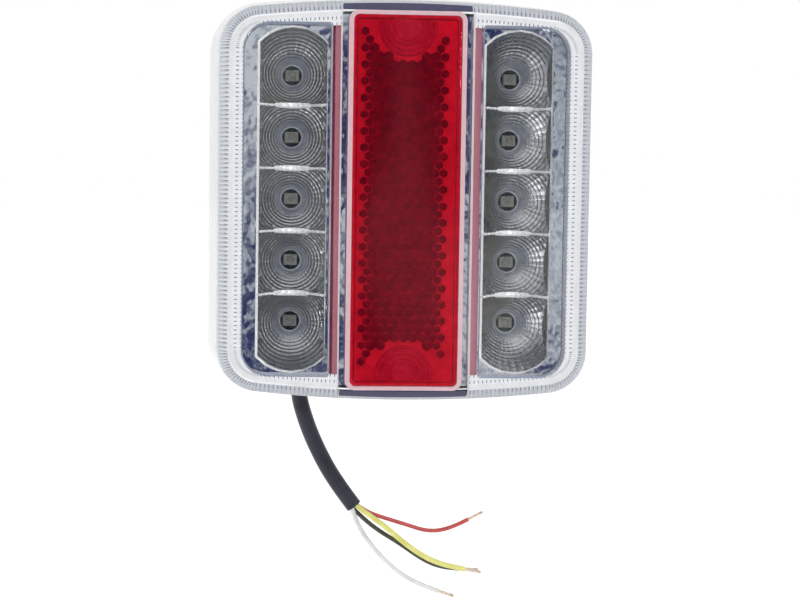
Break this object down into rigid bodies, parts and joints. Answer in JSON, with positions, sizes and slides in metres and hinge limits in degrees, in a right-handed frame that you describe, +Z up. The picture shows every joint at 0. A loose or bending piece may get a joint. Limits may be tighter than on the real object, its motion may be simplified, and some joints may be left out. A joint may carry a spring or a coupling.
{
  "type": "trailer tail light",
  "caption": "Rounded-square LED rear lamp with a clear fluted cover, red centre reflector, chrome cups, stud bolts and a wired cable.",
  "frame": {"origin": "centre of the raised pad's flat face that lies against the trailer, midway between the studs", "axes": "front of the lamp faces -Y, +Z is up as mounted, +X is to the right when facing its front"},
  "size_m": [0.0982, 0.056, 0.1605],
  "materials": {
    "clear_plastic": "gloss",
    "red_plastic": "gloss",
    "grey_plastic": "satin",
    "metallised_plastic": "mirror",
    "board_laminate": "satin",
    "led_case": "satin",
    "resistor_ceramic": "satin",
    "chip_epoxy": "satin",
    "capacitor_ceramic": "satin",
    "solder": "satin",
    "zinc_steel": "satin",
    "black_plastic": "satin",
    "sealant": "satin",
    "black_rubber": "matte",
    "black_jacket": "satin",
    "hot_glue": "satin",
    "red_insulation": "satin",
    "yellow_insulation": "satin",
    "black_insulation": "satin",
    "white_insulation": "satin",
    "copper_strands": "satin"
  },
  "bodies": {
    "lamp": {"outer_lens": "clear_plastic", "red_reflector": "red_plastic", "reflector_backing": "grey_plastic", "chrome_reflector": "metallised_plastic", "circuit_board": "board_laminate", "leds_left": "led_case", "leds_right": "led_case", "leds_tail": "led_case", "resistors": "resistor_ceramic", "diodes": "chip_epoxy", "regulators": "chip_epoxy", "capacitors": "capacitor_ceramic", "solder_joints": "solder", "board_screws": "zinc_steel", "housing": "black_plastic", "seal_bead": "sealant", "stud_bolts": "zinc_steel", "cable_entry": "black_jacket", "cable_elbow": "black_rubber", "cable_glue": "hot_glue", "lead_red": "red_insulation", "lead_yellow": "yellow_insulation", "lead_black": "black_insulation", "lead_white": "white_insulation", "cable_sheath": "black_jacket", "wire_red": "red_insulation", "wire_yellow": "yellow_insulation", "wire_black": "black_insulation", "wire_white": "white_insulation", "wire_ends": "copper_strands"},
    "left_washers": {"flat_washer_left": "zinc_steel", "spring_washer_left": "zinc_steel"},
    "left_nut": {"nut_left": "zinc_steel"},
    "right_washers": {"flat_washer_right": "zinc_steel", "spring_washer_right": "zinc_steel"},
    "right_nut": {"nut_right": "zinc_steel"}
  },
  "joints": [
    {"name": "left_washers_slide", "type": "slide", "parent": "lamp", "child": "left_washers", "axis": [0, 1, 0], "range_m": [-0.0064, 0.0072]},
    {"name": "left_nut_turn", "type": "hinge", "parent": "left_washers", "child": "left_nut", "pos_m": [-0.0225, 0.0122, 0], "axis": [0, 1, 0], "range_deg": [-2880, 3240]},
    {"name": "right_washers_slide", "type": "slide", "parent": "lamp", "child": "right_washers", "axis": [0, 1, 0], "range_m": [-0.0064, 0.0072]},
    {"name": "right_nut_turn", "type": "hinge", "parent": "right_washers", "child": "right_nut", "pos_m": [0.0225, 0.0122, 0], "axis": [0, 1, 0], "range_deg": [-2880, 3240]}
  ],
  "couplings": [
    {"joint": "left_nut_turn", "follows": "left_washers_slide", "rad_per_m": 7854},
    {"joint": "right_nut_turn", "follows": "right_washers_slide", "rad_per_m": 7854}
  ]
}
